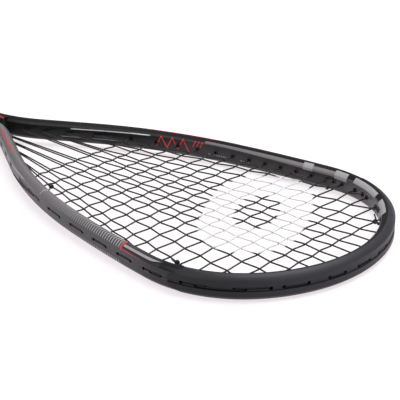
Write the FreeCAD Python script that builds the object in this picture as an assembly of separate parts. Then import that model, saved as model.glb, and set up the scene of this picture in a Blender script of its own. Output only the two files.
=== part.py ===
import FreeCAD, Part
import math
import os

# Squash racket. Millimetres. The origin is the centre of the butt end's flat face, +X runs
# along the shaft to the tip of the head, +Y runs across the head and +Z is normal to the
# string bed, whose middle plane is z = 0.

doc = FreeCAD.newDocument("SquashRacket")
V = FreeCAD.Vector
UP = V(0, 0, 1)

# ---------------------------------------------------------------- driving dimensions
DIMENSIONS = [
    ("overall_length", 686.0),
    ("bumper_proud", 0.8),
    ("bumper_lip", 0.4),
    ("bumper_lip_edge", 0.3),
    ("bumper_lip_width", 1.4),
    ("bumper_point_length", 24.0),
    ("bumper_rib_proud", 0.4),
    ("bumper_recess_width", 3.4),
    ("rail_width", 9.4),
    ("rail_height", 18.0),
    ("inner_bevel", 3.4),
    ("outer_bevel", 3.3),
    ("bevel_bulge", 0.35),
    ("wall", 1.0),
    ("nose_radius", 109.4),
    ("nose_turn", 42.8),
    ("shoulder_radius", 87.4),
    ("shoulder_turn", 53.1),
    ("flank_radius", 1065.0),
    ("flank_turn", 4.9),
    ("lower_flank_radius", 413.0),
    ("lower_flank_turn", 18.6),
    ("throat_radius", 120.0),
    ("throat_crotch_radius", 4.0),
    ("tube_spacing", 8.6),
    ("tube_end", 12.0),
    ("first_cross_from_tip", 276.2),
    ("cross_pitch", 13.8),
    ("cross_pitch_gain", 7.7),
    ("cross_pitch_decay", 3.2),
    ("cross_pitch_tip_gain", 1.2),
    ("string_diameter", 1.2),
    ("string_bend_radius", 1.6),
    ("string_bend_inset", 1.1),
    ("string_run_lift", 0.17),
    ("weave_lift", 0.62),
    ("slot_width", 4.2),
    ("slot_depth", 2.0),
    ("slot_end_margin", 0.6),
    ("channel_width", 1.5),
    ("channel_depth", 1.5),
    ("hole_diameter", 4.0),
    ("barrel_diameter", 3.8),
    ("bore_diameter", 2.6),
    ("barrel_proud", 0.7),
    ("throat_hole_pitch", 4.2),
    ("bore_lift", 0.68),
    ("handle_length", 190.0),
    ("pallet_width", 28.0),
    ("pallet_height", 24.0),
    ("pallet_start", 2.5),
    ("handle_bevel", 6.6),
    ("grip_thickness", 1.8),
    ("grip_start", 9.0),
    ("grip_end", 188.0),
    ("cap_wall", 1.6),
    ("cap_flare", 3.0),
    ("cap_length", 30.0),
    ("cap_ramp_length", 14.0),
    ("staple_wire", 0.6),
    ("staple_span", 9.0),
    ("staple_depth", 4.2),
    ("staple_setback", 8.0),
    ("collar_length", 24.0),
    ("collar_overlap", 9.0),
    ("collar_wall", 1.2),
    ("collar_end_offset", -3.4),
    ("tape_width", 12.0),
    ("tape_thickness", 0.3),
    ("fit_gap", 0.05),
]
CROSS_COUNT = 17
# Distance of each main from the axis at the first cross, and the angle at which it fans out.
MAIN_OFFSETS = [5.2, 10.5, 19.1, 24.1, 34.5, 39.3, 46.4, 50.5]
MAIN_ANGLES = [0.1, 1.5, 2.2, 4.1, 5.0, 8.3, 11.4, 13.7]
# Where each pair of mains leaves the throat, measured back from the first cross.
PAIR_HOLES = [87.0, 71.0, 51.0, 29.0]

sheet = doc.addObject("Spreadsheet::Sheet", "Dimensions")
for row, (alias, number) in enumerate(DIMENSIONS, start=1):
    sheet.set("A%d" % row, alias)
    sheet.set("B%d" % row, str(number))
    sheet.setAlias("B%d" % row, alias)
doc.recompute()


def dim(alias):
    return float(sheet.get(alias))


def rad(degrees):
    return math.radians(degrees)


# ---------------------------------------------------------------- hoop centreline
# The half at +Y, from the tip back to the butt. Each stretch is (length, curvature); a positive
# curvature turns it back towards the butt, and the heading at the tip is +Y.
HALF_RAIL = dim("rail_width") / 2
TIP_X = dim("overall_length") - dim("bumper_proud") - HALF_RAIL


def walk(point, heading, length, curvature):
    """Point and heading after a stretch of constant curvature."""
    if curvature == 0:
        return (point + V(math.cos(heading), math.sin(heading), 0) * length, heading)
    end = heading + curvature * length
    step = V(math.sin(end) - math.sin(heading), math.cos(heading) - math.cos(end), 0)
    return (point + step / curvature, end)


def tube_stretches():
    arcs = []
    for name in ("nose", "shoulder", "flank", "lower_flank"):
        radius = dim(name + "_radius")
        arcs.append((radius * rad(dim(name + "_turn")), 1 / radius))
    point, heading = V(TIP_X, 0, 0), math.pi / 2
    for length, curvature in arcs:
        point, heading = walk(point, heading, length, curvature)
    # The straight leg runs to a concave arc that brings it parallel with the shaft.
    slope = heading - math.pi
    reach = (point.y - dim("tube_spacing") / 2) / math.sin(slope)
    tangent = dim("throat_radius") * math.tan(slope / 2)
    arcs.append((reach - tangent, 0))
    arcs.append((dim("throat_radius") * slope, -1 / dim("throat_radius")))
    corner = point + V(math.cos(heading), math.sin(heading), 0) * reach
    arcs.append((corner.x - tangent - dim("tube_end"), 0))
    return arcs


STRETCHES = tube_stretches()
LEG_START = sum(length for length, curvature in STRETCHES[:4])
LEG_END = LEG_START + STRETCHES[4][0]
SHAFT_START = LEG_END + STRETCHES[5][0]
TUBE_LENGTH = SHAFT_START + STRETCHES[6][0]


def along(distance):
    """Point and outward normal of the tube's centreline, at a distance from the tip."""
    point, heading = V(TIP_X, 0, 0), math.pi / 2
    for length, curvature in STRETCHES:
        step = min(distance, length)
        point, heading = walk(point, heading, step, curvature)
        distance -= step
        if distance <= 0:
            break
    return point, V(math.sin(heading), -math.cos(heading), 0)


def offset_point(distance, offset):
    """A point beside the centreline, offset outward."""
    point, normal = along(distance)
    return point + normal * offset


def stretches_between(first, last):
    """Each straight or circular stretch between two distances: (low, high, curvature)."""
    start = 0.0
    for length, curvature in STRETCHES:
        low, high = max(start, first), min(start + length, last)
        if high - low > 1e-6:
            yield low, high, curvature
        start += length


def centreline(first, last):
    """Edges along the +Y half between two distances."""
    edges = []
    for low, high, curvature in stretches_between(first, last):
        ends = offset_point(low, 0), offset_point(high, 0)
        if curvature == 0:
            edges.append(Part.makeLine(*ends))
        else:
            edges.append(Part.Arc(ends[0], offset_point((low + high) / 2, 0), ends[1]).toShape())
    return edges


def swept(corners, bulges, first, last):
    """Section of (outward, up) corners carried along the tube between two distances."""
    solids = []
    for low, high, curvature in stretches_between(first, last):
        point, normal = along(low)
        points = [point + normal * u + UP * z for u, z in corners]
        curved = {index: normal * u + UP * z for index, (u, z) in bulges.items()}
        face = Part.Face(closed_wire(points, curved))
        if curvature == 0:
            solids.append(face.extrude(along(high)[0] - point))
        else:
            centre = point - normal / curvature
            turn = math.degrees((high - low) * curvature)
            solids.append(face.revolve(centre, UP, turn))
    if len(solids) == 1:
        return solids[0]
    return solids[0].fuse(solids[1:]).removeSplitter()


def meets(line_point, direction, offset, start=0.0, end=None):
    """Distance from the tip at which the offset centreline crosses a straight line."""
    end = SHAFT_START if end is None else end
    side = V(-direction.y, direction.x, 0)

    def gap(distance):
        return (offset_point(distance, offset) - line_point).dot(side)

    low, high = start, end
    sign = 1 if gap(low) > 0 else -1
    for _ in range(50):
        middle = (low + high) / 2
        if gap(middle) * sign > 0:
            low = middle
        else:
            high = middle
    return low


def mirrored(shape):
    return shape.mirror(V(0, 0, 0), V(0, 1, 0))


# ---------------------------------------------------------------- frame tube
def closed_wire(points, bulges):
    """Closed wire; a bulge replaces the straight edge after its point by an arc."""
    edges = []
    for index, start in enumerate(points):
        end = points[(index + 1) % len(points)]
        bulge = bulges.get(index)
        if bulge is None:
            edges.append(Part.makeLine(start, end))
        else:
            edges.append(Part.Arc(start, (start + end) / 2 + bulge, end).toShape())
    return Part.Wire(edges)


def outer_tube(first, last, grow=0.0):
    """Outside of the tube, with bevelled corners."""
    half_w, half_h = HALF_RAIL + grow, dim("rail_height") / 2 + grow
    inner, outer = dim("inner_bevel"), dim("outer_bevel")
    corners = [
        (half_w, half_h - outer), (half_w - outer, half_h),
        (-half_w + inner, half_h), (-half_w, half_h - inner),
        (-half_w, -half_h + inner), (-half_w + inner, -half_h),
        (half_w - outer, -half_h), (half_w, -half_h + outer),
    ]
    bulge = dim("bevel_bulge") * math.sqrt(0.5)
    bulges = {0: (bulge, bulge), 2: (-bulge, bulge), 4: (-bulge, -bulge), 6: (bulge, -bulge)}
    return swept(corners, bulges, first, last)


def cavity(first, last):
    """Hollow of the tube; it keeps clear of the string slots in the outer wall."""
    wall = dim("wall")
    low = -HALF_RAIL + wall
    high = HALF_RAIL - dim("slot_depth") - wall
    half_h = dim("rail_height") / 2 - wall
    cut = dim("inner_bevel") - wall / 2
    top = half_h - cut
    corners = [(high, -half_h), (high, half_h), (low + cut, half_h), (low, top),
               (low, -top), (low + cut, -half_h)]
    return swept(corners, {}, first, last)


def bar(first, last, u_low, u_high, z_low, z_high):
    """Rectangular bar that follows the tube between two distances from the tip."""
    corners = [(u_low, z_low), (u_high, z_low), (u_high, z_high), (u_low, z_high)]
    return swept(corners, {}, first, last)


def rod(distance, radius, u_low, u_high, z=0.0):
    """Round rod along the outward normal, from one offset to another."""
    point, normal = along(distance)
    return Part.makeCylinder(radius, u_high - u_low, point + normal * u_low + UP * z, normal)


def filler_outline():
    """Closed wire between the two tubes' centrelines, from the throat's crotch to the butt."""
    clear = HALF_RAIL + dim("throat_crotch_radius")
    crotch = along(meets(V(0, 0, 0), V(1, 0, 0), -clear, LEG_START))[0]
    front = meets(V(crotch.x, 0, 0), V(0, 1, 0), 0, LEG_START)
    side = centreline(front, TUBE_LENGTH)
    a, b = offset_point(front, 0), offset_point(TUBE_LENGTH, 0)
    front_edge = Part.makeLine(V(a.x, -a.y, 0), a)
    back_edge = Part.makeLine(b, V(b.x, -b.y, 0))
    loop = side + [back_edge] + [mirrored(edge) for edge in side] + [front_edge]
    return Part.Wire(Part.sortEdges(loop)[0])


def crotch_cut():
    """Round cutter that leaves the throat with a curved crotch."""
    radius = dim("throat_crotch_radius")
    on_axis = meets(V(0, 0, 0), V(1, 0, 0), -HALF_RAIL - radius, LEG_START)
    centre = offset_point(on_axis, -HALF_RAIL - radius)
    height = dim("rail_height") + 2
    return Part.makeCylinder(radius, height, V(centre.x, 0, -height / 2))


# ---------------------------------------------------------------- string holes
FIRST_CROSS_X = dim("overall_length") - dim("bumper_proud") - dim("rail_width")
FIRST_CROSS_X -= dim("first_cross_from_tip")
STRING_R = dim("string_diameter") / 2
BEND_U = -HALF_RAIL - dim("barrel_proud") - dim("string_bend_inset")
RUN_U = HALF_RAIL - dim("channel_depth") + STRING_R + dim("string_run_lift")


def cross_positions():
    """X of each cross: close together in the middle, wider towards the throat and the tip."""
    positions = [FIRST_CROSS_X]
    last = CROSS_COUNT - 2
    for index in range(CROSS_COUNT - 1):
        throat_part = dim("cross_pitch_gain") * math.exp(-index / dim("cross_pitch_decay"))
        tip_part = dim("cross_pitch_tip_gain") * (index / last) ** 6
        positions.append(positions[-1] + dim("cross_pitch") + throat_part + tip_part)
    return positions


CROSS_X = cross_positions()
MAIN_COUNT = 2 * len(MAIN_OFFSETS)


def main_y(main, x):
    """Y of a main at x; mains are numbered from the -Y side, eight on each side."""
    half = len(MAIN_OFFSETS)
    rank = main - half if main >= half else half - 1 - main
    y = MAIN_OFFSETS[rank] + math.tan(rad(MAIN_ANGLES[rank])) * (x - FIRST_CROSS_X)
    return y if main >= half else -y


def cross_hole(x):
    """Distance from the tip of the hole for the cross at x."""
    return meets(V(x, 0, 0), V(0, 1, 0), BEND_U)


def main_hole(rank):
    """Distance from the tip of the hole at the tip end of a main of the +Y half."""
    start = V(FIRST_CROSS_X, MAIN_OFFSETS[rank], 0)
    angle = rad(MAIN_ANGLES[rank])
    return meets(start, V(math.cos(angle), math.sin(angle), 0), BEND_U, 0, LEG_START * 0.62)


def throat_holes():
    """Distances of the throat holes, two to each pair of mains, for ranks 0 to 7."""
    half_pitch = dim("throat_hole_pitch") / 2
    distances = []
    for back in PAIR_HOLES:
        middle = meets(V(FIRST_CROSS_X - back, 0, 0), V(0, 1, 0), BEND_U)
        distances += [middle + half_pitch, middle - half_pitch]
    return distances


CROSS_S = [cross_hole(x) for x in CROSS_X]
MAIN_S = [main_hole(rank) for rank in range(8)]
THROAT_S = throat_holes()
BUMPER_END = meets(V(CROSS_X[12] + 6.2, 0, 0), V(0, 1, 0), 0)
TIE_S = (CROSS_S[1] + CROSS_S[2]) / 2


# Holes joined by one grommet on each side of the hoop, by cross number from the throat. The
# right side is the one at -Y; its pieces are made at +Y and mirrored.
RIGHT_GROUPS = [[0, 1, 2], [3, 4], [5, 6], [7, 8], [9, 10], [11, 12]]
LEFT_GROUPS = [[0, 1], [2, 3], [4, 5], [6, 7], [8, 9], [10, 11], [12]]


def group_holes(group, right):
    """Distances of the holes of one grommet, with the extra holes that share its slot."""
    holes = [CROSS_S[index] for index in group]
    if right and 0 in group:
        holes.append(TIE_S)
    if 12 in group:
        holes.append(MAIN_S[7])
    return sorted(holes)


BUMPER_HOLES = MAIN_S[:7] + CROSS_S[13:]
SLOT_MARGIN = dim("slot_width") / 2 + dim("slot_end_margin")


def slot_span(holes):
    """Ends of the slot round some holes; the one beside the tip guard runs up to it."""
    first = holes[0] - SLOT_MARGIN
    if BUMPER_END < first < BUMPER_END + 2 * SLOT_MARGIN:
        first = BUMPER_END
    return first, holes[-1] + SLOT_MARGIN


def cross_lift(right):
    """Height of the crosses in their holes; the mains lie at the opposite height."""
    return dim("bore_lift") if right else -dim("bore_lift")


def main_lift(rank, right):
    """Height of a main in its hole; the two middle mains share a level run round the tip."""
    return 0.0 if rank == 0 else -cross_lift(right)


def slot_cutters(right):
    """Pockets and round holes of one half of the frame, drawn on the +Y side."""
    half_slot = dim("slot_width") / 2
    floor = HALF_RAIL - dim("slot_depth")
    cutters = []
    spans = [slot_span(group_holes(g, right)) for g in (RIGHT_GROUPS if right else LEFT_GROUPS)]
    spans += [slot_span(THROAT_S[i:i + 2][::-1]) for i in (0, 2, 4, 6)]
    for first, last in spans:
        cutters.append(bar(first, last, floor, HALF_RAIL + 2, -half_slot, half_slot))
    cutters.append(bar(0, BUMPER_END, floor, HALF_RAIL + 2, -half_slot, half_slot))
    holes = CROSS_S + MAIN_S + THROAT_S + ([TIE_S] if right else [])
    for distance in holes:
        cutters.append(rod(distance, dim("hole_diameter") / 2, -HALF_RAIL - 2, HALF_RAIL))
    return cutters


def make_frame():
    """One hollow tube bent into the hoop; its two ends lie side by side in the shaft."""
    outside = outer_tube(0, TUBE_LENGTH)
    inside = cavity(0, TUBE_LENGTH - 1)
    height = dim("rail_height")
    filler = Part.Face(filler_outline()).extrude(UP * height)
    filler.translate(UP * (-height / 2))
    body = outside.fuse([mirrored(outside), filler]).removeSplitter()
    body = body.cut([inside, mirrored(inside), crotch_cut()])
    right_cutters = [mirrored(cutter) for cutter in slot_cutters(True)]
    return body.cut(right_cutters + slot_cutters(False)).Solids[0]


# ---------------------------------------------------------------- grommets and bumper
def barrels(holes):
    """Tubes that line the string holes, from the slot floor to just inside the hoop."""
    floor = HALF_RAIL - dim("slot_depth")
    inside = -HALF_RAIL - dim("barrel_proud")
    return [rod(s, dim("barrel_diameter") / 2, inside, floor + 0.3) for s in holes]


def bores(holes):
    return [rod(s, dim("bore_diameter") / 2, -HALF_RAIL - 3, HALF_RAIL + 3) for s in holes]


def channels(runs):
    """Narrow channels in which the string runs from hole to hole: (first, last, z)."""
    half = dim("channel_width") / 2
    low = HALF_RAIL - dim("channel_depth")
    return [bar(first, last, low, HALF_RAIL + 3, z - half, z + half) for first, last, z in runs]


def grommet(holes, runs, span=None):
    """Plate that fills a slot, with a barrel at each hole and channels for the string."""
    gap = dim("fit_gap")
    first, last = span or slot_span(holes)
    half = dim("slot_width") / 2 - gap
    floor = HALF_RAIL - dim("slot_depth") + gap
    plate = bar(first + gap, last - gap, floor, HALF_RAIL - gap, -half, half)
    solid = plate.fuse(barrels(holes)).removeSplitter()
    return solid.cut(bores(holes) + channels(runs)).Solids[0]


def cross_runs(right):
    """Runs of the cross string outside the hoop on one side, and of the ends tied off."""
    lift = cross_lift(right)
    first_pair = 1 if right else 0
    runs = [(CROSS_S[i + 1], CROSS_S[i], lift) for i in range(first_pair, CROSS_COUNT - 1, 2)]
    if right:
        runs.append((TIE_S, CROSS_S[0], -lift))
    else:
        runs.append((MAIN_S[4], CROSS_S[16], lift))
    return runs


def main_runs(right):
    """Runs of the main string outside the hoop on one side, and of the end tied off."""
    runs = [(MAIN_S[rank], MAIN_S[rank + 1], main_lift(rank, right)) for rank in (1, 3, 5)]
    return runs + [(0.0, MAIN_S[0], 0.0), (CROSS_S[12], MAIN_S[7], main_lift(7, right))]


def make_grommets(right):
    pieces = []
    for group in (RIGHT_GROUPS if right else LEFT_GROUPS):
        holes = group_holes(group, right)
        first, last = slot_span(holes)
        every = cross_runs(right) + main_runs(right)
        runs = [run for run in every if run[1] > first and run[0] < last]
        pieces.append(grommet(holes, runs))
    half = Part.makeCompound(pieces)
    return mirrored(half) if right else half


def make_throat_grommets():
    pieces = []
    for right in (True, False):
        for index in (0, 2, 4, 6):
            holes = sorted(THROAT_S[index:index + 2])
            piece = grommet(holes, [(holes[0], holes[1], main_lift(index + 1, right))])
            pieces.append(mirrored(piece) if right else piece)
    return Part.makeCompound(pieces)


def guard_wedge():
    """Pointed outline that the guard's two ends are trimmed to, seen from the side."""
    tip_x = dim("overall_length") + 10
    point_x = offset_point(BUMPER_END, 0).x
    full_x = point_x + dim("bumper_point_length")
    tall = dim("rail_height")
    low = dim("slot_width") / 2
    upper = [(point_x, low), (full_x, tall), (tip_x, tall)]
    outline = [V(x, -130, z) for x, z in upper] + [V(x, -130, -z) for x, z in reversed(upper)]
    return Part.Face(Part.makePolygon(outline + outline[:1])).extrude(V(0, 260, 0))


def bumper_half(right):
    """Half of the tip guard: a shell over the outer wall and bevels, ribbed into the groove."""
    gap, proud = dim("fit_gap"), dim("bumper_proud")
    half_h, bevel = dim("rail_height") / 2, dim("outer_bevel")
    flat = half_h - bevel
    edge = HALF_RAIL - bevel
    bulge = dim("bevel_bulge") * math.sqrt(0.5)
    lip = edge - dim("bumper_lip_width")
    upper = [
        (HALF_RAIL + proud, flat), (edge, half_h + dim("bumper_lip")),
        (lip, half_h + dim("bumper_lip_edge")), (lip, half_h + gap),
        (edge, half_h + gap), (HALF_RAIL + gap, flat),
    ]
    section = upper + [(u, -z) for u, z in reversed(upper)]
    curves = {0: (bulge, bulge), 4: (bulge, bulge), 6: (bulge, -bulge), 10: (bulge, -bulge)}
    shell = swept(section, curves, 0, BUMPER_END).common(guard_wedge())
    half_slot = dim("slot_width") / 2 - gap
    floor = HALF_RAIL - dim("slot_depth") + gap
    rib_top = HALF_RAIL + dim("bumper_rib_proud")
    rib = bar(0, BUMPER_END - gap, floor, rib_top, -half_slot, half_slot)
    solid = shell.fuse(rib).fuse(barrels(BUMPER_HOLES))
    half_recess = dim("bumper_recess_width") / 2
    recess = bar(0, BUMPER_END + 5, HALF_RAIL, HALF_RAIL + 3, -half_recess, half_recess)
    runs = [run for run in cross_runs(right) + main_runs(right) if run[0] < BUMPER_END]
    return solid.cut(recess).cut(bores(BUMPER_HOLES)).cut(channels(runs))


def make_bumper():
    return bumper_half(False).fuse(mirrored(bumper_half(True))).Solids[0]


# ---------------------------------------------------------------- strings
def rounded_path(points, limit):
    """Straight runs joined by tangent arcs, no tighter than the runs allow."""
    edges = []
    start = points[0]
    for before, corner, after in zip(points, points[1:], points[2:]):
        into = (corner - before).normalize()
        out = (after - corner).normalize()
        half_turn = into.getAngle(out) / 2
        if half_turn < 1e-3:
            continue
        room = 0.45 * min((corner - before).Length, (after - corner).Length)
        radius = min(limit, room / math.tan(half_turn))
        cut_back = radius * math.tan(half_turn)
        inward = (out - into).normalize()
        first, last = corner - into * cut_back, corner + out * cut_back
        middle = corner + inward * (radius / math.cos(half_turn) - radius)
        edges.append(Part.makeLine(start, first))
        edges.append(Part.Arc(first, middle, last).toShape())
        start = last
    edges.append(Part.makeLine(start, points[-1]))
    return Part.Wire(edges)


def string_solid(points):
    """Round string along a path, with small arcs where it bends."""
    path = rounded_path(points, dim("string_bend_radius"))
    ring = Part.Wire(Part.makeCircle(STRING_R, points[0], points[1] - points[0]))
    return path.makePipeShell([ring], True, False)


def side_point(distance, offset, z, right):
    point = offset_point(distance, offset) + UP * z
    return V(point.x, -point.y, point.z) if right else point


def weave(main, cross):
    """Height of a main where it crosses a cross; the cross passes the other way."""
    return dim("weave_lift") * (-1 if (main + cross) % 2 else 1)


def crosses_met(main):
    """Crosses that a main passes on its way from the throat to its hole at the tip."""
    rank = max(main - 8, 7 - main)
    end_x = offset_point(MAIN_S[rank], BEND_U).x
    return [cross for cross in range(CROSS_COUNT) if CROSS_X[cross] < end_x - 2.5]


def main_crossing(main, cross):
    """Centre of a main where it passes a cross."""
    x = CROSS_X[cross]
    return V(x, main_y(main, x), weave(main, cross))


def main_points(main):
    """Corners of one main, from its outer corner at the throat to the one at the tip."""
    right = main < 8
    rank = 7 - main if right else main - 8
    low = main_lift(max(rank, 1), right)
    ends = [side_point(THROAT_S[rank], offset, low, right) for offset in (RUN_U, BEND_U)]
    middle = [main_crossing(main, cross) for cross in crosses_met(main)]
    high = main_lift(rank, right)
    tips = [side_point(MAIN_S[rank], offset, high, right) for offset in (BEND_U, RUN_U)]
    return ends + middle + tips


def curved_run(first, last, z, right, steps):
    """Points between two holes along the channel, without the holes themselves."""
    step = (last - first) / steps
    return [side_point(first + step * k, RUN_U, z, right) for k in range(1, steps)]


def run_steps(first, last):
    """Number of straight steps, about 8 mm each, that follow the hoop between two holes."""
    return max(1, round(abs(last - first) / 8))


def main_string_points():
    """Corners of the one string that makes all the mains, with both tied-off tails."""
    route = tail_points(1, CROSS_S[12], main_lift(7, True), True)
    route.append(side_point(CROSS_S[12], RUN_U, main_lift(7, True), True))
    for main in range(MAIN_COUNT):
        corners = main_points(main)
        route += corners if main % 2 else corners[::-1]
        if main % 2 and main not in (7, MAIN_COUNT - 1):
            right = main < 8
            rank = 7 - main if right else main - 8
            after = rank - 1 if right else rank + 1
            hole, next_hole = MAIN_S[rank], MAIN_S[after]
            lift = main_lift(rank, right)
            route += curved_run(hole, next_hole, lift, right, run_steps(hole, next_hole))
    route.append(side_point(CROSS_S[12], RUN_U, main_lift(7, False), False))
    return route + tail_points(14, CROSS_S[12], main_lift(7, False), False)[::-1]


def cross_points(cross):
    """Corners of one cross, from its outer corner on the right to the one on the left."""
    hole, x = CROSS_S[cross], CROSS_X[cross]
    edge = offset_point(hole, BEND_U).y
    low = -cross_lift(True) if cross == 0 else cross_lift(True)
    high = cross_lift(False)
    middle = []
    for main in range(MAIN_COUNT):
        y = main_y(main, x)
        if cross in crosses_met(main) and abs(y) < edge - 1:
            middle.append(V(x, y, -weave(main, cross)))
    start = [side_point(hole, offset, low, True) for offset in (RUN_U, BEND_U)]
    return start + middle + [side_point(hole, offset, high, False) for offset in (BEND_U, RUN_U)]


def cross_string_points():
    """Corners of the one string that makes all the crosses, with both tied-off tails."""
    low = -cross_lift(True)
    route = tail_points(0, TIE_S, low, True)
    route.append(side_point(TIE_S, RUN_U, low, True))
    route += curved_run(TIE_S, CROSS_S[0], low, True, 4)
    for cross in range(CROSS_COUNT):
        to_right = cross % 2 == 1
        corners = cross_points(cross)
        route += corners[::-1] if to_right else corners
        if cross < CROSS_COUNT - 1:
            hole, after = CROSS_S[cross], CROSS_S[cross + 1]
            lift = cross_lift(to_right)
            route += curved_run(hole, after, lift, to_right, run_steps(hole, after))
    high = cross_lift(False)
    route += curved_run(CROSS_S[16], MAIN_S[4], high, False, 2)
    route += [side_point(MAIN_S[4], offset, high, False) for offset in (RUN_U, BEND_U)]
    centre = cross_tie()[0]
    return route + [centre + (route[-1] - centre).normalize() * KNOT_REACH]


# ---------------------------------------------------------------- knots
KNOT_RING = 1.32
KNOT_WIRE = 0.54
KNOT_REACH = KNOT_RING + KNOT_WIRE + 0.03
TAIL_LENGTH = 6.0


def on_main(main, x):
    """Point and direction of a main's centre between two crosses."""
    before = max(c for c in crosses_met(main) if CROSS_X[c] < x)
    ends = [main_crossing(main, cross) for cross in (before, before + 1)]
    direction = ends[1] - ends[0]
    return ends[0] + direction * ((x - ends[0].x) / direction.x), direction


def main_tie(main):
    """Where a tail is tied: just past the second cross, or before the thirteenth."""
    return on_main(main, CROSS_X[1] + 3.5 if main == 0 else CROSS_X[12] - 4.5)


def cross_tie():
    """Where the last cross is tied to itself, between its hole and the main beside it."""
    x = CROSS_X[16]
    first = V(x, main_y(12, x), -weave(12, 16))
    last = side_point(CROSS_S[16], BEND_U, cross_lift(False), False)
    return first + (last - first) * 0.45, last - first


def tail_points(main, hole, z, right):
    """Tail from its knot on a main back into the mouth of its hole."""
    centre = main_tie(main)[0]
    mouth = side_point(hole, BEND_U, z, right)
    return [centre + (mouth - centre).normalize() * KNOT_REACH, mouth]


def knot(centre, direction, lean):
    """Two turns of string pulled tight around another string, with the cut end standing out."""
    axis = V(direction).normalize()
    turns = [Part.makeTorus(KNOT_RING, KNOT_WIRE, centre + axis * shift, axis)
             for shift in (-0.5, 0.5)]
    out = axis.cross(lean).normalize()
    foot = centre + out * KNOT_RING
    stub = Part.makeCylinder(KNOT_WIRE, TAIL_LENGTH, foot, (lean + out).normalize())
    return turns[0].fuse([turns[1], stub]).removeSplitter().Solids[0]


def make_main_knots():
    lean = V(0.3, 0, 1)
    return Part.makeCompound([knot(*main_tie(main), lean) for main in (1, MAIN_COUNT - 2)])


def make_cross_knots():
    near_throat = knot(*main_tie(0), V(0.5, 0, 1))
    near_tip = knot(*cross_tie(), V(-1, -0.5, 1))
    return Part.makeCompound([near_throat, near_tip])


# ---------------------------------------------------------------- handle
def octagon(offset, first, last, offset_last=None):
    """Handle-shaped solid, grown by an offset over the pallets, between two stations."""
    rings = []
    offset_last = offset if offset_last is None else offset_last
    for x, grow in ((first, offset), (last, offset_last)):
        half_w, half_h = dim("pallet_width") / 2 + grow, dim("pallet_height") / 2 + grow
        cut = dim("handle_bevel") + 0.4 * grow
        quarter = [(half_w, half_h - cut), (half_w - cut, half_h)]
        corners = quarter + [(-y, z) for y, z in reversed(quarter)]
        corners += [(-y, -z) for y, z in quarter] + [(y, -z) for y, z in reversed(quarter)]
        rings.append(Part.makePolygon([V(x, y, z) for y, z in corners + corners[:1]]))
    return Part.makeLoft(rings, True, True)


def shaft_room(first, last):
    gap = 0.1
    width = dim("tube_spacing") + dim("rail_width") + 2 * gap
    height = dim("rail_height") + 2 * gap
    return Part.makeBox(last - first, width, height, V(first, -width / 2, -height / 2))


def make_pallet(sign):
    """Half of the moulded handle, on one side of the shaft."""
    whole = octagon(0, dim("pallet_start"), dim("handle_length") - 2)
    whole = whole.cut(shaft_room(0, dim("handle_length")))
    size = 100
    side = dim("fit_gap") if sign > 0 else -size - dim("fit_gap")
    keep = Part.makeBox(dim("handle_length"), size, size, V(0, side, -size / 2))
    return whole.common(keep).cut(make_staples()).Solids[0]


def make_butt_cap():
    """Cup over the butt end, with a flared lip that the grip butts against."""
    wall, flare = dim("cap_wall"), dim("cap_flare")
    edge, rim_end, rim_step = wall + flare, 3.0, 0.6
    rim = octagon(edge - 1, 0, rim_end, edge)
    back = octagon(edge, rim_end, dim("grip_start"), wall + rim_step)
    skirt = octagon(wall, 0, dim("cap_length"))
    cup = rim.fuse([back, skirt]).removeSplitter()
    inside = octagon(dim("fit_gap"), dim("pallet_start") - dim("fit_gap"), dim("cap_length") + 1)
    return cup.cut(inside).cut(make_staples()).Solids[0]


def make_grip():
    """Wrapped grip as one sleeve over the cap's skirt and the pallets."""
    thick, wall, gap = dim("grip_thickness"), dim("cap_wall"), dim("fit_gap")
    start, end, step = dim("grip_start") + gap, dim("grip_end"), dim("cap_length") + gap
    ramp_end = step + dim("cap_ramp_length")
    over_cap = octagon(wall + thick, start, step)
    ramp = octagon(wall + thick, step, ramp_end, thick)
    outside = over_cap.fuse([ramp, octagon(thick, ramp_end, end)]).removeSplitter()
    inside = octagon(wall + gap, start - 1, step).fuse(octagon(gap, step - 1, end + 1))
    return outside.cut(inside).Solids[0]


def make_tape():
    outer = dim("grip_thickness") + dim("tape_thickness")
    end = dim("grip_end") - 1
    start = end - dim("tape_width")
    tube = octagon(outer + dim("fit_gap"), start, end)
    return tube.cut(octagon(dim("grip_thickness") + dim("fit_gap"), start - 1, end + 1)).Solids[0]


def make_collar():
    """Rubber collar, from over the grip's top edge down to the bare shaft."""
    start = dim("grip_end") - dim("collar_overlap")
    end, shoulder = start + dim("collar_length"), dim("grip_end") + 1
    inner = dim("grip_thickness") + dim("tape_thickness") + 2 * dim("fit_gap")
    outer = inner + dim("collar_wall")
    straight = octagon(outer, start, shoulder)
    outside = straight.fuse(octagon(outer, shoulder, end, dim("collar_end_offset")))
    inside = octagon(inner, start - 1, dim("grip_end") + 0.3)
    return outside.removeSplitter().cut([inside, shaft_room(start, end + 1)]).Solids[0]


def make_staples():
    """Two wire staples that pin the cap's skirt to the pallets, one on each face."""
    wire, span, depth = dim("staple_wire"), dim("staple_span"), dim("staple_depth")
    top = dim("pallet_height") / 2 + dim("cap_wall")
    x = dim("cap_length") - dim("staple_setback")
    bridge = Part.makeBox(wire, span, wire, V(x, -span / 2, top - wire))
    feet = (-span / 2, span / 2 - wire)
    legs = [Part.makeBox(wire, wire, depth, V(x, y, top - depth)) for y in feet]
    staple = bridge.fuse(legs).removeSplitter().Solids[0]
    return Part.makeCompound([staple, staple.mirror(V(0, 0, 0), V(0, 0, 1))])


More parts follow.
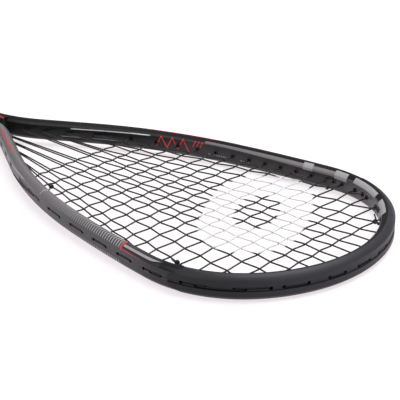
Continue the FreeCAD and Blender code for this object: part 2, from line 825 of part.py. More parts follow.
# ---------------------------------------------------------------- document and files
NODES = [
    ("frame", make_frame),
    ("bumper_guard", make_bumper),
    ("side_grommets_right", lambda: make_grommets(True)),
    ("side_grommets_left", lambda: make_grommets(False)),
    ("throat_grommets", make_throat_grommets),
    ("main_string", lambda: string_solid(main_string_points())),
    ("cross_string", lambda: string_solid(cross_string_points())),
    ("main_string_knots", make_main_knots),
    ("cross_string_knots", make_cross_knots),
    ("handle_pallet_left", lambda: make_pallet(1)),
    ("handle_pallet_right", lambda: make_pallet(-1)),
    ("butt_cap", make_butt_cap),
    ("butt_cap_staples", make_staples),
    ("grip_wrap", make_grip),
    ("finishing_tape", make_tape),
    ("grip_collar", make_collar),
]


def main():
    for label, make in NODES:
        piece = doc.addObject("Part::Feature", label)
        piece.Label = label
        piece.Shape = make()
        piece.Placement = FreeCAD.Placement()
    doc.recompute()
    failed = [o.Label for o in doc.Objects if {"Invalid", "Error"} & set(o.State)]
    pieces = [o for o in doc.Objects if o.TypeId == "Part::Feature"]
    failed += [o.Label for o in pieces if o.Shape.isNull() or not o.Shape.isValid()]
    if failed:
        raise RuntimeError("failed: " + ", ".join(failed))
    os.makedirs("parts", exist_ok=True)
    for piece in pieces:
        piece.Shape.exportStep("parts/" + piece.Label + ".step")
        solids, volume = len(piece.Shape.Solids), piece.Shape.Volume
        print("%-22s %3d solids %9.1f mm3" % (piece.Label, solids, volume))


main()
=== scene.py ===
import math

import bmesh
import bpy
from mathutils import Matrix, Vector


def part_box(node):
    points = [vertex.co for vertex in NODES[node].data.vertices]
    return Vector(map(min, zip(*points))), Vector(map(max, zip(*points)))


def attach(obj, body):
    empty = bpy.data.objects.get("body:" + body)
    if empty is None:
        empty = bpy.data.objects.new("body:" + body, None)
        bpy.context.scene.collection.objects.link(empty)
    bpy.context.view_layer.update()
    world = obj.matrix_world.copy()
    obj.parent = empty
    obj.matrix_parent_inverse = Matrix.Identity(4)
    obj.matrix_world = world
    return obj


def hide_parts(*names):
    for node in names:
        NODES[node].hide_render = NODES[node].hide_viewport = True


# Squash racket. The frame is the CAD one: the origin is the middle of the butt's end face, +X runs
# to the tip of the head, +Y across the head and +Z away from the string bed. The right flank is the
# one at -Y, nearer the camera. Places and sizes are in metres, and in millimetres where a shader
# field or the grip is concerned.

MM = 0.001
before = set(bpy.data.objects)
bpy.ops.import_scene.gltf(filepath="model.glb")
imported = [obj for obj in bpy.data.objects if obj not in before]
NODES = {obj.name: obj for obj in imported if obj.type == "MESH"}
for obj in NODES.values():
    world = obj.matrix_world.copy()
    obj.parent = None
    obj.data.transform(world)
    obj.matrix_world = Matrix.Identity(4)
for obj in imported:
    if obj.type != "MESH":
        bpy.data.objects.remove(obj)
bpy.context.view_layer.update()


# ------------------------------------------------------------------ shader arithmetic
class Field:
    """A number worked out by shader nodes at each point of a surface."""

    tree = None

    def __init__(self, source):
        self.source = source

    @classmethod
    def math(cls, operation, *inputs):
        node = cls.tree.nodes.new("ShaderNodeMath")
        node.operation = operation
        for socket, value in zip(node.inputs, inputs):
            plug(socket, value)
        return cls(node.outputs[0])

    def __add__(self, other):
        return Field.math("ADD", self, other)

    def __sub__(self, other):
        return Field.math("SUBTRACT", self, other)

    def __rsub__(self, other):
        return Field.math("SUBTRACT", other, self)

    def __mul__(self, other):
        return Field.math("MULTIPLY", self, other)

    def __truediv__(self, other):
        return Field.math("DIVIDE", self, other)

    __rmul__ = __mul__

    def __and__(self, other):
        return Field.math("MINIMUM", self, other)

    def __or__(self, other):
        return Field.math("MAXIMUM", self, other)

    def __invert__(self):
        return Field.math("SUBTRACT", 1.0, self)

    def __abs__(self):
        return Field.math("ABSOLUTE", self)


def plug(socket, value):
    """Connects a field to a shader socket, or sets the socket to a number or an RGB colour."""
    if isinstance(value, Field):
        Field.tree.links.new(value.source, socket)
    elif isinstance(value, tuple):
        socket.default_value = (*value, 1.0)
    else:
        socket.default_value = value


def ramp(value, low, high, to_low=0.0, to_high=1.0):
    """Smooth step from to_low at low to to_high at high."""
    node = Field.tree.nodes.new("ShaderNodeMapRange")
    node.interpolation_type = "SMOOTHSTEP"
    for socket, number in zip(node.inputs, (value, low, high, to_low, to_high)):
        plug(socket, number)
    return Field(node.outputs[0])


def band(value, low, high, soft=0.15):
    """1 between low and high, fading by soft to either side of each."""
    return ramp(value, low - soft, low + soft) & ~ramp(value, high - soft, high + soft)


def union(masks):
    """1 where any of the masks is 1."""
    first, *others = masks
    for mask in others:
        first = first | mask
    return first


def stroke(x, y, start, end, width):
    """1 on a straight pen stroke between two points of the (x, y) plane."""
    soft = 0.15
    (ax, ay), (bx, by) = start, end
    length = math.hypot(bx - ax, by - ay)
    ux, uy = (bx - ax) / length, (by - ay) / length
    run = (x - ax) * ux + (y - ay) * uy
    off = abs((x - ax) * -uy + (y - ay) * ux)
    half = width / 2
    return band(run, -half, length + half, soft) & ~ramp(off, half - soft, half + soft)


def pen(x, y, points, width):
    """1 on a pen line through the points."""
    return union(stroke(x, y, start, end, width) for start, end in zip(points, points[1:]))


def varied(grain, low, high):
    """A value from low to high that follows a noise, most of which lies between 0.2 and 0.8."""
    return ramp(grain, 0.2, 0.8, low, high)


def noise(scale, detail, roughness):
    """Noise over the object, scale in cells per metre."""
    node = Field.tree.nodes.new("ShaderNodeTexNoise")
    Field.tree.links.new(object_place(), node.inputs["Vector"])
    node.inputs["Scale"].default_value = scale
    node.inputs["Detail"].default_value = detail
    node.inputs["Roughness"].default_value = roughness
    return Field(node.outputs["Fac"])


def object_place():
    """Socket that gives the place on the object, in metres."""
    return Field.tree.nodes.new("ShaderNodeTexCoord").outputs["Object"]


def place():
    """Position in millimetres, as three fields."""
    node = Field.tree.nodes.new("ShaderNodeSeparateXYZ")
    Field.tree.links.new(object_place(), node.inputs[0])
    return [Field(output) * (1 / MM) for output in node.outputs]


def paint(layers, base):
    """Colour of a base with masked layers over it, [(mask, rgb or colour field), ...]."""
    current = base
    for mask, over in layers:
        node = Field.tree.nodes.new("ShaderNodeMix")
        node.data_type = "RGBA"
        factor, under_colour, over_colour = node.inputs[0], node.inputs[6], node.inputs[7]
        plug(factor, mask)
        plug(under_colour, current)
        plug(over_colour, over)
        current = Field(node.outputs[2])
    return current


class Material:
    """A Principled material under construction; nodes made inside the block join its tree."""

    SOCKETS = {"colour": "Base Color", "rough": "Roughness", "metal": "Metallic",
               "specular": "Specular IOR Level", "glow": "Emission Color",
               "glow_strength": "Emission Strength"}

    def __init__(self, name):
        self.material = bpy.data.materials.new(name)
        self.material.use_nodes = True

    def __enter__(self):
        Field.tree = self.material.node_tree
        self.shader = Field.tree.nodes["Principled BSDF"]
        return self

    def set(self, **values):
        for key, value in values.items():
            plug(self.shader.inputs[self.SOCKETS[key]], value)

    def bump(self, height, distance, strength):
        node = Field.tree.nodes.new("ShaderNodeBump")
        node.inputs["Strength"].default_value = strength
        node.inputs["Distance"].default_value = distance
        plug(node.inputs["Height"], height)
        Field.tree.links.new(node.outputs[0], self.shader.inputs["Normal"])

    def __exit__(self, *error):
        return False


def give(name, material):
    """Puts a material on every slot of a CAD node."""
    data = NODES[name].data
    if not data.materials:
        data.materials.append(material)
    for index in range(len(data.materials)):
        data.materials[index] = material


# ------------------------------------------------------------------ frame paint
# The hoop's half from the tip: (radius, turn in degrees) of each arc of the tube's centreline.
HOOP_ARCS = [(109.4, 42.8), (87.4, 53.1), (1065.0, 4.9), (413.0, 18.6)]
HALF_RAIL = 4.7
HALF_HEIGHT = 9.0
GUARD_PROUD = 0.8
TIP_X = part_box("bumper_guard")[1][0] / MM - GUARD_PROUD - HALF_RAIL
RED = (0.62, 0.030, 0.024)

# Places along the tube, in mm from the tip. On the right flank a painted highlight, a light band,
# runs from the guard to a red bracket, and the brushed grey with its ticks from there to the throat.
HIGHLIGHT_START, HIGHLIGHT_END = 147.0, 185.8
BRACKET_AT = 187.0
TICKS_START, TICKS_FADE, TICKS_END = 188.4, 196.0, 300.0
TICK_PITCH = 2.7
# Further on, a pale line on the top follows an arc across the tube. A pale line and a painted groove
# shade on the wall come down by FALL_SLOPE towards the throat.
ARC_START, ARC_END, ARC_SLANT = 299.6, 300.3, 0.35
WALL_LINE_START, WALL_LINE_END = 338.0, 425.0
GROOVE_SHADE_START, GROOVE_SHADE_END = 316.0, 400.0
FALL_PIVOT, FALL_SLOPE = 348.0, 0.075
# The left flank's painted reflection, a pale stripe on its bevel, and its plain blocks as (start, end,
# lower edge).
REFLECTION_START, REFLECTION_END = 151.0, 279.0
BLOCKS = [(176.0, 185.0, 3.4), (142.0, 155.0, 2.8), (100.0, 134.0, 5.0), (66.0, 90.0, 4.2)]
# Its white line, the faint line under it, and the two rows of dashes as (start, end).
WHITE_LINE_START, WHITE_LINE_END, WHITE_LINE_SLOPE = 332.0, 405.0, 0.014
LOW_LINE_START, LOW_LINE_END = 340.0, 420.0
DASH_ROWS = [(258.0, 276.0), (236.0, 245.0)]
DASH_PITCH = 2.4
# Its red zigzag and slashes run back towards the tip from here.
ZIGZAG_START = 326.0
ZIGZAG_STEP, ZIGZAG_LOW, ZIGZAG_HIGH = 5.2, -3.4, 6.3
SLASH_FOOT, SLASH_HEAD = (35.5, 1.4), (38.0, 6.8)
SLASH_STEP = 3.4
PEN_WIDTH = 0.9


def hoop_stretches():
    """Start point, heading, radius and distance from the tip of each stretch; radius None is straight."""
    point, heading, distance = Vector((TIP_X, 0)), math.pi / 2, 0.0
    stretches = []
    for radius, turn in HOOP_ARCS:
        stretches.append((point, heading, radius, distance))
        end = heading + math.radians(turn)
        step = Vector((math.sin(end) - math.sin(heading), math.cos(heading) - math.cos(end)))
        point = point + radius * step
        distance += radius * math.radians(turn)
        heading = end
    stretches.append((point, heading, None, distance))
    return stretches


def choose(mask, inside, outside):
    """inside where the mask is 1, outside where it is 0."""
    return outside + mask * (inside - outside)


def rail_fields(x, y):
    """Distance along the tube from the tip and offset outward from its centreline."""
    y = abs(y)
    along = across = None
    for point, heading, radius, distance in hoop_stretches():
        tangent = Vector((math.cos(heading), math.sin(heading)))
        normal = Vector((tangent.y, -tangent.x))
        forward = (x - point.x) * tangent.x + (y - point.y) * tangent.y
        if radius is None:
            s = forward + distance
            u = (x - point.x) * normal.x + (y - point.y) * normal.y
        else:
            centre = point - normal * radius
            reach = (x - centre.x) * normal.x + (y - centre.y) * normal.y
            angle = Field.math("ARCTAN2", forward, reach)
            s = angle * radius + distance
            u = Field.math("SQRT", forward * forward + reach * reach) - radius
        if along is None:
            along, across = s, u
        else:
            beyond = Field.math("GREATER_THAN", forward, 0.0)
            along, across = choose(beyond, s, along), choose(beyond, u, across)
    return along, across


def left_side(y):
    """1 on the left flank, 0 on the right one."""
    return ramp(y, -0.3, 0.3)


class Rail:
    """The fields that the frame's masks share: where a point lies on the tube, and on what face.

    s and u are the rail coordinates, high is the distance from the bed's plane, and depth the
    distance in from the top or the bottom. grey and dark are the right flank's two stretches.
    """

    def __init__(self):
        self.x, self.y, self.z = place()
        self.s, self.u = rail_fields(self.x, self.y)
        self.high = abs(self.z)
        self.depth = HALF_HEIGHT - self.high
        self.outer_wall = ramp(self.u, 4.0, 4.45) & ~ramp(self.high, 5.5, 5.8)
        self.top = ramp(self.u, -4.45, -4.2) & ~self.outer_wall
        self.right = ~left_side(self.y)
        head = ramp(self.x, 296, 306)
        self.left_head = ~self.right & head
        self.right_head = self.right & head
        self.grey = self.right_head & ramp(self.s, BRACKET_AT - 0.4, BRACKET_AT + 0.4)
        self.dark = self.right_head & ~self.grey


def left_wall_layers(rail):
    """Left flank's inner wall: its dark layer, and apart from it the lines and strokes over it."""
    s, z = rail.s, rail.z
    wall = rail.left_head & ramp(-4.0 - rail.u, 0.0, 0.3)
    wall_tone = paint([(ramp(s, 120, 170), (0.034, 0.032, 0.034)),
                       (ramp(s, 280, 350), (0.010, 0.010, 0.011))], (0.085, 0.081, 0.085))
    leaning = z + (s - WHITE_LINE_END) * WHITE_LINE_SLOPE
    white_line = wall & band(leaning, 4.1, 4.95, 0.2) & band(s, WHITE_LINE_START, WHITE_LINE_END, 1.5)
    low_line = wall & band(z, -3.2, -2.8, 0.3) & band(s, LOW_LINE_START, LOW_LINE_END, 8)
    dashes = wall & band(z, -2.9, -2.1, 0.15) & union(band(s, *row, 0.3) for row in DASH_ROWS)
    dashes = dashes & band(Field.math("FRACT", s / DASH_PITCH), 0.2, 0.75, 0.08)
    run = ZIGZAG_START - s
    corners = [(k * ZIGZAG_STEP, ZIGZAG_HIGH if k % 2 else ZIGZAG_LOW) for k in range(7)]
    strokes = [pen(run, z, corners, PEN_WIDTH)]
    for k in range(3):
        slash = [(along + SLASH_STEP * k, height) for along, height in (SLASH_FOOT, SLASH_HEAD)]
        strokes.append(pen(run, z, slash, PEN_WIDTH))
    return [(wall, wall_tone)], [(white_line, (0.80, 0.80, 0.81)),
                                 (low_line | dashes, (0.30, 0.30, 0.31)),
                                 (wall & union(strokes), RED)]


def left_bevel_layers(rail):
    """Left flank's painted reflection of a light panel, a pale stripe on the bevel that grows towards the
    tip, and the plain blocks on it.
    """
    s, u, z = rail.s, rail.u, rail.z
    lower_edge = ramp(s, 170, 276, 4.0, 6.3)
    # Painted reflection: a pale stripe on the bevel, a little darker away from the tip.
    reflection_stripe = rail.left_head & ramp(-2.8 - u, 0.0, 0.25) & ramp(z - lower_edge, -0.2, 0.2)
    reflection_stripe = reflection_stripe & band(s, REFLECTION_START, REFLECTION_END, 1.0)
    painted_reflection = paint([(ramp(s, 160, 260), (0.150, 0.140, 0.142))], (0.185, 0.172, 0.176))
    blocks = union(band(s, start, end, 0.3) & ramp(z, low, low + 0.4) for start, end, low in BLOCKS)
    blocks = rail.left_head & blocks & ramp(-1.5 - u, 0.0, 0.25)
    return [(reflection_stripe, painted_reflection), (blocks, (0.300, 0.296, 0.310))]


def red_edge_layers(rail):
    """Thin red line along the top of the left flank, beside the zigzag."""
    edge = rail.left_head & band(rail.s, 270, 325, 6) & band(rail.depth, -0.2, 0.3, 0.1)
    return [(edge & band(rail.u, 0.5, 1.6, 0.2), RED)]


def dark_wall_layers(rail):
    """Right flank between the bracket and the tip guard: a dark wall."""
    s = rail.s
    shade = paint([(ramp(s, 150, 190), (0.056, 0.053, 0.059)),
                   (ramp(rail.high, 5.4, 5.8) & ~ramp(s, 146, 150), (0.007, 0.007, 0.008))],
                  (0.026, 0.026, 0.030))
    return [(rail.dark & ramp(rail.u, -1.0, -0.6), shade)]


def brushed_layers(rail):
    """Right flank from the bracket to the throat: brushed grey with ticks that fade away."""
    s, u, z = rail.s, rail.u, rail.z
    tick = band(Field.math("FRACT", s / TICK_PITCH), 0.30, 0.70, 0.14)
    ticked = ~ramp(s, TICKS_FADE, TICKS_END) & ramp(s, TICKS_START, TICKS_START + 0.6)
    ticked = ticked & (rail.top | ~ramp(z, -4.1, -3.8))
    underside = ~ramp(z, -6.2, -5.0)
    brushed = paint([(underside, (0.085, 0.080, 0.085)),
                     (ticked & tick, (0.330, 0.318, 0.327)),
                     (ticked & ~tick, (0.060, 0.056, 0.060)),
                     (ramp(s, 304, 312) & ~ramp(u, -1.4, -0.9), (0.110, 0.104, 0.110)),
                     (rail.outer_wall & ~ticked, (0.060, 0.057, 0.063))], (0.140, 0.131, 0.140))
    arc_line = rail.right & rail.top & band(s - ARC_SLANT * u, ARC_START, ARC_END, 0.25)
    wall_line = rail.right & rail.outer_wall & band(falling_height(rail), 3.9, 4.7, 0.25)
    wall_line = wall_line & band(s, WALL_LINE_START, WALL_LINE_END, 6)
    return [(rail.grey & ramp(u, -4.5, -4.2), brushed), (arc_line | wall_line, (0.46, 0.45, 0.46))]


def falling_height(rail):
    """Height over a line that comes down the wall towards the throat."""
    return rail.z + (rail.s - FALL_PIVOT) * FALL_SLOPE


def groove_shade_mask(rail):
    """Painted groove shade: a dark line along the right flank's lower wall, near the throat, in place of
    the shade in a groove.
    """
    groove_shade = band(falling_height(rail), -4.2, -2.2, 0.3) & band(rail.s, GROOVE_SHADE_START, GROOVE_SHADE_END, 3)
    return rail.right & groove_shade


def highlight_band_layers(rail):
    """The painted highlight, a light band on the dark wall's bevel tapering to a point, with the dark lines
    beside it.
    """
    s, u = rail.s, rail.u
    taper = ramp(s, HIGHLIGHT_START - 1, 158) * 1.3
    inner_line = rail.dark & band(s, 140, 186, 1.0) & band(u, -2.6, -1.9, 0.2)
    outline = rail.dark & band(s, 143, 186.2, 0.4) & band(rail.depth, 0.05, taper + 0.75, 0.12)
    # Painted highlight: a light band along the bevel, tapering to a point.
    highlight_band = rail.dark & band(s, HIGHLIGHT_START, HIGHLIGHT_END, 0.4) & band(rail.depth, 0.25, taper + 0.2, 0.12)
    return [(inner_line, (0.12, 0.115, 0.12)),
            (outline & ramp(u, 0.2, 0.5), (0.008, 0.008, 0.009)),
            (highlight_band & ramp(u, 0.4, 0.9), (0.27, 0.26, 0.267))]


def red_mark_layers(rail):
    """The bracket, the tail under the light band, and the red lines of the throat."""
    s, u, z = rail.s, rail.u, rail.z
    upper_or_lower = rail.top | ramp(z, 4.6, 5.0) | ~ramp(z, -6.5, -6.1)
    bracket = rail.right_head & band(s, BRACKET_AT - 0.6, BRACKET_AT + 0.6, 0.2) & upper_or_lower
    tail = rail.dark & band(s, 160, BRACKET_AT, 4) & ramp(u, 4.0, 4.3)
    tail = tail & band(z, 5.3, ramp(s, 158, BRACKET_AT) * 0.75 + 5.3, 0.15)
    throat_points = [(387, 1.7), (413, 2.05), (442, 2.4)]
    throat_line = rail.right & ramp(z, 5.0, 5.4) & pen(s, u, throat_points, 0.8)
    far_line = ~rail.right & pen(rail.x, rail.y, [(284.0, 2.0), (303.0, 0.2)], 1.2) & ramp(z, 7.8, 8.2)
    return [(tail | bracket | throat_line | far_line, RED)]


def frame_material():
    """Black lacquer with the paint of both flanks over it, and among its layers a painted highlight, a
    painted reflection and a painted groove shade.
    """
    with Material("frame_lacquer") as m:
        rail = Rail()
        grain = noise(900, 4, 0.6)
        drift = noise(14, 2, 0.5)
        groove_shade = groove_shade_mask(rail)
        wall, wall_marks = left_wall_layers(rail)
        layers = wall + left_bevel_layers(rail) + wall_marks + red_edge_layers(rail)
        # Painted shade of a groove: a dark line, made matte by the roughness below.
        layers += dark_wall_layers(rail) + brushed_layers(rail) + [(groove_shade, (0.006, 0.006, 0.007))]
        layers += highlight_band_layers(rail) + red_mark_layers(rail)
        lacquer = paint([(drift, (0.011, 0.011, 0.012))], (0.006, 0.006, 0.007))
        rough = varied(grain, 0.30, 0.40) | (groove_shade * 0.95)
        m.set(colour=paint(layers, lacquer), rough=rough, specular=0.2)
        m.bump(grain, 0.04 * MM, 0.5)
    return m.material


def guard_material():
    """Black nylon, a little paler towards the tip, with a painted highlight on the top facet above the
    wall.
    """
    with Material("guard_nylon") as m:
        x, y, z = place()
        s, u = rail_fields(x, y)
        grain = noise(2600, 3, 0.6)
        wear = noise(60, 4, 0.6)
        tone = paint([(wear, (0.016, 0.016, 0.020))], (0.010, 0.010, 0.013))
        near_tip = paint([(wear, (0.038, 0.038, 0.045))], (0.028, 0.028, 0.034))
        # Painted highlight: the top facet is made paler. The end near the tip is paler as well.
        top_highlight = ~ramp(u, 1.2, 2.0) & ramp(z, 8.6, 9.0)
        pale_tip_and_highlight = (~ramp(s, 40, 120) * 0.75) | (top_highlight * 0.6)
        rough = varied(grain, 0.40, 0.52)
        m.set(colour=paint([(pale_tip_and_highlight, near_tip)], tone), rough=rough, specular=0.22)
        m.bump(grain, 0.06 * MM, 0.6)
    return m.material


def grommet_material():
    """Black strips, a little paler inside the left flank, and grey where they face out of the right."""
    with Material("grommet_nylon") as m:
        x, y, z = place()
        s, u = rail_fields(x, y)
        grain = noise(3000, 2, 0.5)
        left = left_side(y)
        face = ~left & ramp(u, 4.2, 4.5) & ramp(abs(z), 0.85, 1.0) & ~ramp(s, 316, 320)
        shade = paint([(ramp(s, 130, 190), (0.068, 0.064, 0.071))], (0.026, 0.026, 0.030))
        inward = left & ~ramp(u, -4.6, -4.3) & ~ramp(s, 290, 340)
        tone = paint([(grain, (0.012, 0.012, 0.014)), (inward, (0.026, 0.025, 0.027)), (face, shade)],
                     (0.007, 0.007, 0.008))
        m.set(colour=tone, rough=0.42, specular=0.28)
        m.bump(grain, 0.04 * MM, 0.5)
    return m.material


# The sprayed ring on the strings: its centre, turn, half sizes, and the power that squares it a little.
RING_X, RING_Y = 577.0, 14.0
RING_TURN = math.radians(29.0)
RING_HALF_WIDTH, RING_HALF_LENGTH = 44.0, 76.0
RING_POWER = 2.6
RING_INNER, RING_OUTER = 0.42, 0.94


def string_material():
    """Black string with a sprayed mark: a plain slanted ring over the middle of the bed."""
    with Material("string_black") as m:
        x, y, _ = place()
        dx, dy = x - RING_X, y - RING_Y
        across = (dx * math.cos(RING_TURN) + dy * math.sin(RING_TURN)) / RING_HALF_WIDTH
        along = (dy * math.cos(RING_TURN) - dx * math.sin(RING_TURN)) / RING_HALF_LENGTH
        powers = [Field.math("POWER", abs(part), RING_POWER) for part in (across, along)]
        reach = Field.math("POWER", powers[0] + powers[1], 1 / RING_POWER)
        ragged = noise(160, 2, 0.5)
        ring = band(reach + ragged * 0.08, RING_INNER, RING_OUTER, 0.02)
        thin = noise(700, 2, 0.6)
        sprayed = ring & ramp(thin, 0.22, 0.36)
        twist = noise(1500, 2, 0.5)
        black = paint([(twist, (0.014, 0.014, 0.015))], (0.008, 0.008, 0.009))
        m.set(colour=paint([(sprayed, (0.60, 0.595, 0.605))], black), rough=0.35, specular=0.3)
        m.bump(twist, 0.03 * MM, 0.5)
    return m.material


def speckled(name, dark, light, rough, scale, bump, metal=0.0):
    """A fine grain between two tones, which also varies the roughness and raises the surface."""
    with Material(name) as m:
        grain = noise(scale, 4, 0.6)
        m.set(colour=paint([(grain, light)], dark), metal=metal)
        m.set(rough=varied(grain, rough - 0.06, rough + 0.06))
        m.bump(grain, bump, 0.6)
    return m.material


def ribbed(name):
    """Black rubber with fine ribs round it, one every 2.4 mm."""
    with Material(name) as m:
        along = place()[0]
        grain = noise(1500, 4, 0.6)
        rib = band(Field.math("FRACT", along / 2.4), 0.25, 0.75, 0.12)
        tone = paint([(rib, (0.017, 0.017, 0.017))], (0.007, 0.007, 0.007))
        m.set(colour=tone, rough=varied(grain, 0.54, 0.66))
        m.bump(rib + grain * 0.2, 0.5 * MM, 0.8)
    return m.material


def ringed(name):
    """Moulded black plastic with shallow rings on its end face, one every 3 mm."""
    with Material(name) as m:
        x, y, z = place()
        grain = noise(1800, 4, 0.6)
        reach = Field.math("SQRT", y * y + z * z)
        ring = band(Field.math("FRACT", reach / 3.0), 0.3, 0.7, 0.1)
        ring = ring & ~ramp(x, 0.2, 0.5) & ~ramp(reach, 11.5, 12.0)
        tone = paint([(grain, (0.018, 0.018, 0.020)), (ring, (0.007, 0.007, 0.008))], (0.010, 0.010, 0.011))
        m.set(colour=tone, rough=varied(grain, 0.39, 0.51))
        m.bump(grain * 0.15 - ring, 0.4 * MM, 0.7)
    return m.material


give("frame", frame_material())
give("bumper_guard", guard_material())
grommets = grommet_material()
for name in ("side_grommets_right", "side_grommets_left", "throat_grommets"):
    give(name, grommets)
strings = string_material()
for name in ("main_string", "cross_string", "main_string_knots", "cross_string_knots"):
    give(name, strings)
give("butt_cap", ringed("cap_plastic"))
give("grip_collar", ribbed("collar_rubber"))
steel = speckled("staple_steel", (0.45, 0.45, 0.46), (0.6, 0.6, 0.6), 0.3, 2500, 0.02 * MM, metal=1.0)
give("butt_cap_staples", steel)
foam = speckled("pallet_foam", (0.30, 0.26, 0.18), (0.42, 0.37, 0.27), 0.8, 900, 0.2 * MM)
give("handle_pallet_left", foam)
give("handle_pallet_right", foam)
vinyl = speckled("tape_vinyl", (0.012, 0.012, 0.013), (0.02, 0.02, 0.021), 0.35, 1200, 0.05 * MM)
give("finishing_tape", vinyl)


# ------------------------------------------------------------------ wrapped grip
# The handle under the wrap: half width, half height, and how far its corners are cut. The cut grows
# by BEVEL_GROWTH with each millimetre of wrap.
HALF_WIDE, HALF_TALL = 14.0, 12.0
BEVEL, BEVEL_GROWTH = 6.6, 0.4
ROUNDING_POWER = 22.0
# The cap's skirt lifts the wrap as far as SKIRT_END, and a ramp lets it down again by RAMP_END.
SKIRT_END, RAMP_END = 30.0, 44.0
WRAP_THICK, SKIRT_THICK = 1.8, 1.6
WRAP_INSET = 0.02
INNER_GAP = 0.1
WRAP_PITCH = 22.0
SEAM_WIDTH, SEAM_DEPTH = 1.6, 0.45
LAP_WIDTH, LAP_RISE, LAP_HEIGHT = 4.5, 2.2, 0.55
HOLE_PITCH, HOLES_AROUND = 3.6, 28
# The strip's skin has this many points round the handle and steps along it.
AROUND = 72
STATIONS = 240


def handle_radius(angle, grow):
    """Distance from the axis to the eight-sided handle, its corners rounded, grown by grow."""
    half_width, half_height = HALF_WIDE + grow, HALF_TALL + grow
    across, up = abs(math.cos(angle)), abs(math.sin(angle))
    slant = half_width + half_height - BEVEL - BEVEL_GROWTH * grow
    shares = (across / half_width, up / half_height, (across + up) / slant)
    return sum(share ** ROUNDING_POWER for share in shares) ** (-1 / ROUNDING_POWER)


def wrap_dip(distance):
    """How far the strip lies under its own raised edge, from one overlap to the next."""
    run = distance % WRAP_PITCH
    seam = max(0.0, 1 - run / SEAM_WIDTH) * SEAM_DEPTH
    ridge = max(0.0, min(1.0, (run - (WRAP_PITCH - LAP_WIDTH)) / LAP_RISE))
    return LAP_HEIGHT * (1 - ridge) + seam


def skirt_share(x):
    """1 over the cap's skirt, falling to 0 down the ramp beyond it."""
    return max(0.0, min(1.0, (RAMP_END - x) / (RAMP_END - SKIRT_END)))


def wrap_ring(x, grow, wound):
    """Points round the handle at x, grow away from the pallets; a wound ring has the overlaps."""
    ring = []
    for step in range(AROUND):
        angle = 2 * math.pi * step / AROUND
        dip = wrap_dip(x - WRAP_PITCH * step / AROUND) if wound else 0.0
        reach = handle_radius(angle, grow - dip)
        ring.append(Vector((x, reach * math.cos(angle), reach * math.sin(angle))) * MM)
    return ring


def make_grip():
    """One strip wound up the handle, each turn overlapping the last, as a closed skin."""
    start, end = (corner[0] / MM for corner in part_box("grip_wrap"))
    rings = []
    for k in range(STATIONS + 1):
        x = start + (end - start) * k / STATIONS
        rings.append(wrap_ring(x, WRAP_THICK - WRAP_INSET + SKIRT_THICK * skirt_share(x), True))
    inner = [(end, INNER_GAP), (SKIRT_END + 2 * INNER_GAP, INNER_GAP),
             (SKIRT_END + INNER_GAP, SKIRT_THICK + INNER_GAP), (start, SKIRT_THICK + INNER_GAP)]
    rings += [wrap_ring(x, grow, False) for x, grow in inner]
    points = [point for ring in rings for point in ring]
    faces = []
    for row in range(len(rings)):
        after = (row + 1) % len(rings)
        for step in range(AROUND):
            beside = (step + 1) % AROUND
            faces.append([row * AROUND + step, row * AROUND + beside,
                          after * AROUND + beside, after * AROUND + step])
    mesh = bpy.data.meshes.new("grip_strip")
    mesh.from_pydata(points, [], faces)
    shape = bmesh.new()
    shape.from_mesh(mesh)
    bmesh.ops.recalc_face_normals(shape, faces=shape.faces)
    shape.to_mesh(mesh)
    shape.free()
    for face in mesh.polygons:
        face.use_smooth = face.index < STATIONS * AROUND
    grip = bpy.data.objects.new("grip_strip", mesh)
    bpy.context.collection.objects.link(grip)
    mesh.materials.append(grip_material())
    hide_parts("grip_wrap")
    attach(grip, "root")


def grip_material():
    """Matte black polyurethane with rows of small holes along the strip and a dark seam."""
    with Material("grip_polyurethane") as m:
        x, y, z = place()
        angle = Field.math("ARCTAN2", z, y) / (2 * math.pi)
        run = Field.math("FLOORED_MODULO", x - angle * WRAP_PITCH, WRAP_PITCH)
        row = Field.math("FRACT", run / HOLE_PITCH) - 0.5
        column = Field.math("FRACT", angle * HOLES_AROUND) - 0.5
        reach = Field.math("SQRT", row * row + column * column)
        hole = ~ramp(reach, 0.10, 0.16) & band(run, 2.6, 17.0, 0.2)
        seam = ~ramp(run, 0.5, 1.1)
        grain = noise(1500, 4, 0.6)
        tone = paint([(grain, (0.024, 0.024, 0.025)), (hole | seam, (0.004, 0.004, 0.004))],
                     (0.014, 0.014, 0.015))
        m.set(colour=tone, rough=varied(grain, 0.55, 0.68), specular=0.3)
        m.bump(grain * 0.25 - hole, 0.3 * MM, 0.7)
    return m.material


make_grip()


# ------------------------------------------------------------------ stage
FLOOR_SIZE = 12
FLOOR_GAP = 0.2 * MM


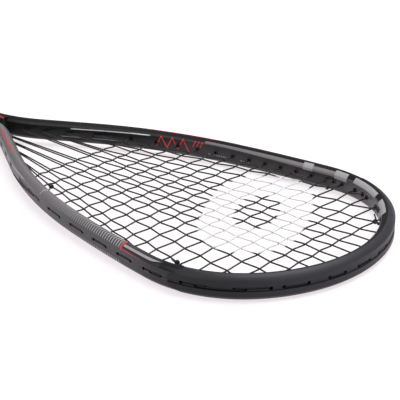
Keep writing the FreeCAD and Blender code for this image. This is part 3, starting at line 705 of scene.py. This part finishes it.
def make_floor():
    """Pale plane just under the racket, which rests on its grip collar and its tip guard."""
    collar_x, collar_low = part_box("grip_collar")[0][0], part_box("grip_collar")[0][2]
    tip_x, tip_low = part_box("bumper_guard")[1][0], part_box("bumper_guard")[0][2]
    rise = (tip_low - collar_low) / (tip_x - collar_x)
    slope = math.atan(rise)
    low = collar_low - rise * collar_x - FLOOR_GAP
    bpy.ops.mesh.primitive_plane_add(size=FLOOR_SIZE, location=(0, 0, low))
    floor = bpy.context.object
    floor.name = "floor"
    floor.rotation_euler = (0, -slope, 0)
    with Material("floor_white") as m:
        m.set(colour=(0.27, 0.255, 0.263), rough=0.6, specular=0.1)
        m.set(glow=(1.0, 0.950, 0.978), glow_strength=0.74)
    floor.data.materials.append(m.material)


def area_light(name, location, target, size, power):
    """White panel of the given width and height, in metres, aimed at the target."""
    data = bpy.data.lights.new(name, "AREA")
    data.shape = "RECTANGLE"
    data.size, data.size_y = size
    data.energy = power
    light = bpy.data.objects.new(name, data)
    bpy.context.collection.objects.link(light)
    light.location = location
    aim = Vector(target) - Vector(location)
    light.rotation_euler = aim.to_track_quat("-Z", "Y").to_euler()


make_floor()
area_light("key", location=(0.75, 0.35, 1.6), target=(0.5, 0, 0), size=(1.5, 1.5), power=48)
area_light("side", location=(0.3, -1.2, 1.3), target=(0.45, 0, 0), size=(1.2, 0.8), power=9)

world = bpy.data.worlds.new("studio")
bpy.context.scene.world = world
world.use_nodes = True
background = world.node_tree.nodes["Background"]
background.inputs["Color"].default_value = (1, 1, 1, 1)
background.inputs["Strength"].default_value = 0.2

# ------------------------------------------------------------------ camera
# Its place in metres, the directions it looks along and has to its right, and its angle of view.
CAMERA = Vector((1.0903, -0.5967, 0.3712))
FORWARD = Vector((-0.6223, 0.6651, -0.4127))
RIGHT = Vector((0.7334, 0.6797, -0.0105))
FIELD_OF_VIEW = 19.322

lens = bpy.data.cameras.new("camera")
lens.sensor_fit = "HORIZONTAL"
lens.angle = math.radians(FIELD_OF_VIEW)
lens.dof.use_dof = False
camera = bpy.data.objects.new("camera", lens)
bpy.context.collection.objects.link(camera)
back = -FORWARD.normalized()
side = (RIGHT - back * RIGHT.dot(back)).normalized()
turn = Matrix((side, back.cross(side), back)).transposed()
camera.matrix_world = Matrix.Translation(CAMERA) @ turn.to_4x4()
bpy.context.scene.camera = camera
bpy.context.scene.view_settings.view_transform = "Standard"
bpy.context.scene.view_settings.look = "None"
